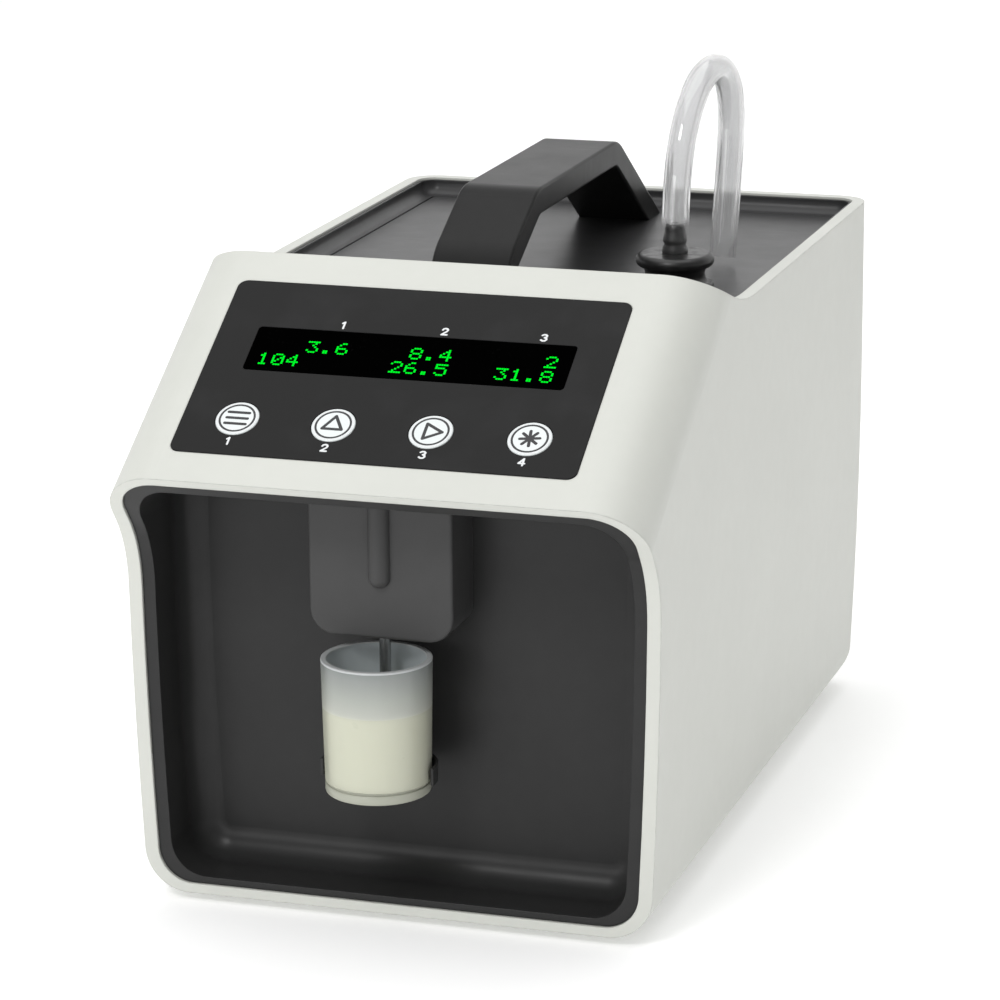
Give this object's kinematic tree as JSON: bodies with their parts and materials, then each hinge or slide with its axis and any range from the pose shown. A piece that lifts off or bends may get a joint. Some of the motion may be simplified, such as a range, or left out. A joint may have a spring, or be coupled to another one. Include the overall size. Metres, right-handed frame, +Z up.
{
  "type": "milk analyzer",
  "caption": "Bench milk analyzer: ivory sleeve housing, sloping key panel with display, sampling recess with needle and cup, carrying handle and drain hose.",
  "frame": {"origin": "on the table plane, under the middle of the body's bounding box", "axes": "+Z up, the front with the panel and sampling recess faces -Y, +X is to the right of a person facing the front"},
  "size_m": [0.19, 0.3344, 0.2752],
  "materials": {
    "casing_plastic": "fine matt moulded texture",
    "dark_plastic": "fine matt moulded texture",
    "tray_plastic": "matt with slight sheen",
    "black_rubber": "matt",
    "clear_pvc": "clear and glossy",
    "overlay_film": "matt printed film",
    "window_acrylic": "glossy",
    "key_plastic": "satin",
    "lcd_frame": "bright",
    "circuit_board": "solder mask",
    "stainless": "fine brushed",
    "screw_steel": "zinc plated",
    "cup_plastic": "translucent",
    "milk": "opaque liquid",
    "sheet_steel": "zinc coated",
    "brass_fittings": "machined",
    "silicone_tube": "translucent satin",
    "motor_steel": "satin",
    "white_plastic": "satin",
    "heater_film": "polyimide film"
  },
  "bodies": {
    "instrument": {"casing": "casing_plastic", "front_recess": "dark_plastic", "recess_screws": "screw_steel", "sampler_block": "dark_plastic", "cup_clip": "dark_plastic", "recess_back_screws": "screw_steel", "sampling_needle": "stainless", "needle_elbow": "white_plastic", "panel_overlay": "overlay_film", "display_window": "window_acrylic", "display_module": "lcd_frame", "panel_board_screws": "screw_steel", "keypad_board": "circuit_board", "top_tray": "tray_plastic", "tray_strip": "tray_plastic", "carry_handle": "tray_plastic", "handle_posts": "screw_steel", "hose_port": "black_rubber", "port_nut": "dark_plastic", "clear_hose": "clear_pvc", "rubber_feet": "black_rubber", "feet_screws": "screw_steel", "base_frame": "sheet_steel", "board_standoffs": "brass_fittings", "main_board": "circuit_board", "chassis_screws": "screw_steel", "pump_bracket": "sheet_steel", "pump_motor": "motor_steel", "pump_housing": "white_plastic", "pump_cover": "cup_plastic", "pump_screws": "screw_steel", "pump_tube": "silicone_tube", "tube_couplings": "white_plastic", "measuring_cell": "brass_fittings", "cell_transducers": "stainless", "cell_heater": "heater_film", "cell_bracket": "sheet_steel", "inlet_tube": "silicone_tube", "transfer_tube": "silicone_tube", "drain_tube": "silicone_tube", "rear_panel": "sheet_steel", "rear_panel_screws": "screw_steel", "power_switch_frame": "dark_plastic", "dc_inlet": "dark_plastic", "usb_port": "motor_steel"},
    "cup": {"sample_cup": "cup_plastic", "milk_sample": "milk"},
    "menu_key_cap": {"menu_key": "key_plastic"},
    "up_key_cap": {"up_key": "key_plastic"},
    "next_key_cap": {"next_key": "key_plastic"},
    "start_key_cap": {"start_key": "key_plastic"},
    "rotor": {"pump_rotor": "dark_plastic", "motor_shaft": "stainless"},
    "roller_1": {"pump_roller_1": "white_plastic"},
    "roller_2": {"pump_roller_2": "white_plastic"},
    "roller_3": {"pump_roller_3": "white_plastic"},
    "switch_rocker": {"power_rocker": "dark_plastic"}
  },
  "joints": [
    {"name": "cup_lower", "type": "slide", "parent": "instrument", "child": "cup", "axis": [0, 0, -1], "range_m": [0, 0.037]},
    {"name": "menu_key_press", "type": "slide", "parent": "instrument", "child": "menu_key_cap", "axis": [0, 0.5287, -0.8488], "range_m": [0, 0.0006], "stiffness_N_per_m": 1500, "springref_m": -0.0002},
    {"name": "up_key_press", "type": "slide", "parent": "instrument", "child": "up_key_cap", "axis": [0, 0.5287, -0.8488], "range_m": [0, 0.0006], "stiffness_N_per_m": 1500, "springref_m": -0.0002},
    {"name": "next_key_press", "type": "slide", "parent": "instrument", "child": "next_key_cap", "axis": [0, 0.5287, -0.8488], "range_m": [0, 0.0006], "stiffness_N_per_m": 1500, "springref_m": -0.0002},
    {"name": "start_key_press", "type": "slide", "parent": "instrument", "child": "start_key_cap", "axis": [0, 0.5287, -0.8488], "range_m": [0, 0.0006], "stiffness_N_per_m": 1500, "springref_m": -0.0002},
    {"name": "pump_turn", "type": "hinge", "parent": "instrument", "child": "rotor", "pos_m": [0.035, 0.0427, 0.065], "axis": [0, 1, 0], "continuous": true},
    {"name": "roller_1_spin", "type": "hinge", "parent": "rotor", "child": "roller_1", "pos_m": [0.035, 0.0427, 0.0785], "axis": [0, 1, 0], "continuous": true},
    {"name": "roller_2_spin", "type": "hinge", "parent": "rotor", "child": "roller_2", "pos_m": [0.02331, 0.0427, 0.05825], "axis": [0, 1, 0], "continuous": true},
    {"name": "roller_3_spin", "type": "hinge", "parent": "rotor", "child": "roller_3", "pos_m": [0.04669, 0.0427, 0.05825], "axis": [0, 1, 0], "continuous": true},
    {"name": "power_rock", "type": "hinge", "parent": "instrument", "child": "switch_rocker", "pos_m": [-0.032, 0.1612, 0.069], "axis": [1, 0, 0], "range_deg": [0, 20]}
  ],
  "couplings": [
    {"joint": "roller_1_spin", "follows": "pump_turn", "ratio": -3.1429},
    {"joint": "roller_2_spin", "follows": "pump_turn", "ratio": -3.1429},
    {"joint": "roller_3_spin", "follows": "pump_turn", "ratio": -3.1429}
  ]
}
